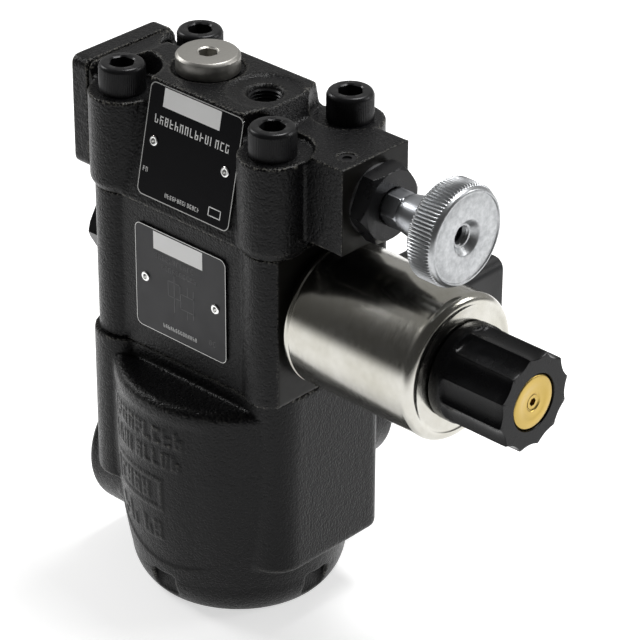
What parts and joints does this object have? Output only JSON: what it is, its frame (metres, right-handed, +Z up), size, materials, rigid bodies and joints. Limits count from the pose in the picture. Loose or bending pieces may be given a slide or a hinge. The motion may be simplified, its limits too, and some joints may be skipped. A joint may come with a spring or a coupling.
{
  "type": "pilot-operated proportional pressure control valve",
  "caption": "Stacked hydraulic pressure valve: main cartridge stage, proportional solenoid pilot, and relief head with an adjusting knob.",
  "frame": {"origin": "centre of the flat underside, on the main bore axis", "axes": "+X towards the solenoid and the adjusting knob, +Y towards the rear port, +Z up the main bore"},
  "size_m": [0.19, 0.0965, 0.1955],
  "materials": {
    "casting": "black painted sand casting, fine grain",
    "black_steel": "black oxide, satin",
    "screw_black": "black oxide, knurled, satin",
    "hard_steel": "ground",
    "soft_iron": "turned",
    "spring_steel": "drawn wire",
    "rubber": "matte",
    "brass": "turned",
    "zinc_shell": "zinc plated, glossy with fine drawn lines",
    "zinc_steel": "zinc plated, satin",
    "washer_zinc": "satin",
    "knob_metal": "zinc plated, straight knurl",
    "copper": "enamelled wire",
    "coil_plastic": "moulded, fine grain",
    "nut_plastic": "moulded, satin",
    "pin_silver": "tin plated",
    "plate_gloss": "gloss black with a bright border",
    "plate_grey": "satin dark grey with a bright border",
    "rivet_metal": "bright"
  },
  "bodies": {
    "valve": {"main_body": "casting", "main_sleeve": "hard_steel", "sleeve_seals": "rubber", "lower_interface_seals": "rubber", "pilot_body": "casting", "upper_interface_seals": "rubber", "prop_seat": "hard_steel", "pole_piece": "soft_iron", "solenoid_tube": "soft_iron", "tube_cap": "brass", "end_plug": "black_steel", "end_plug_seal": "rubber", "head_body": "casting", "cover_plate": "casting", "cover_screws": "screw_black", "cover_seal": "rubber", "relief_seat": "hard_steel", "adjuster_housing": "black_steel", "adjuster_seal": "washer_zinc", "gauge_plug": "zinc_steel", "gauge_plug_seal": "rubber", "expander_plug": "black_steel", "body_screws": "screw_black", "name_plate_head": "plate_gloss", "name_plate_pilot": "plate_grey", "plate_rivets": "rivet_metal", "main_spring": "spring_steel", "relief_spring": "spring_steel"},
    "main_spool": {"main_spool": "hard_steel", "spool_orifice": "hard_steel"},
    "solenoid_plunger": {"armature": "soft_iron", "push_pin": "hard_steel", "prop_cone": "hard_steel"},
    "relief_cone": {"relief_cone": "hard_steel"},
    "spring_plate": {"spring_plate": "hard_steel"},
    "adjuster": {"adjust_spindle": "zinc_steel", "adjust_knob": "knob_metal", "spindle_seal": "rubber"},
    "coil": {"coil_housing": "zinc_shell", "coil_bobbin": "coil_plastic", "coil_winding": "copper", "coil_base_ring": "rubber", "connector_socket": "coil_plastic", "connector_pins": "pin_silver"},
    "nut_seal": {"nut_seal": "rubber"},
    "coil_nut": {"coil_nut": "nut_plastic"},
    "bleed_ball": {"bleed_ball": "hard_steel"},
    "bleed_screw": {"bleed_screw": "brass"}
  },
  "joints": [
    {"name": "spool_stroke", "type": "slide", "parent": "valve", "child": "main_spool", "axis": [0, 0, 1], "range_m": [0, 0.006], "stiffness_N_per_m": 3000, "springref_m": -0.008, "deforming": ["main_spring"]},
    {"name": "solenoid_stroke", "type": "slide", "parent": "valve", "child": "solenoid_plunger", "axis": [-1, 0, 0], "range_m": [0, 0.002]},
    {"name": "relief_lift", "type": "slide", "parent": "valve", "child": "relief_cone", "axis": [1, 0, 0], "range_m": [0, 0.0015], "stiffness_N_per_m": 3000, "springref_m": -0.004, "deforming": ["relief_spring"]},
    {"name": "adjust_travel", "type": "slide", "parent": "valve", "child": "spring_plate", "axis": [1, 0, 0], "range_m": [0, 0.005]},
    {"name": "adjust_turn", "type": "hinge", "parent": "spring_plate", "child": "adjuster", "pos_m": [0, 0, 0.1678], "axis": [1, 0, 0], "range_deg": [0, 1800.1]},
    {"name": "coil_swivel", "type": "hinge", "parent": "valve", "child": "coil", "pos_m": [0.0737, 0, 0.1197], "axis": [1, 0, 0], "range_deg": [-180, 10]},
    {"name": "nut_travel", "type": "slide", "parent": "valve", "child": "nut_seal", "axis": [1, 0, 0], "range_m": [0, 0.003]},
    {"name": "nut_turn", "type": "hinge", "parent": "nut_seal", "child": "coil_nut", "pos_m": [0.115, 0, 0.1197], "axis": [1, 0, 0], "range_deg": [0, 1080.1]},
    {"name": "bleed_lift", "type": "slide", "parent": "valve", "child": "bleed_ball", "axis": [1, 0, 0], "range_m": [0, 0.001]},
    {"name": "bleed_turn", "type": "hinge", "parent": "bleed_ball", "child": "bleed_screw", "pos_m": [0.128, 0, 0.1197], "axis": [1, 0, 0], "range_deg": [0, 720.1]}
  ],
  "couplings": [
    {"joint": "adjust_turn", "follows": "adjust_travel", "rad_per_m": 6283.2},
    {"joint": "nut_turn", "follows": "nut_travel", "rad_per_m": 6283.2},
    {"joint": "bleed_turn", "follows": "bleed_lift", "rad_per_m": 12566}
  ]
}
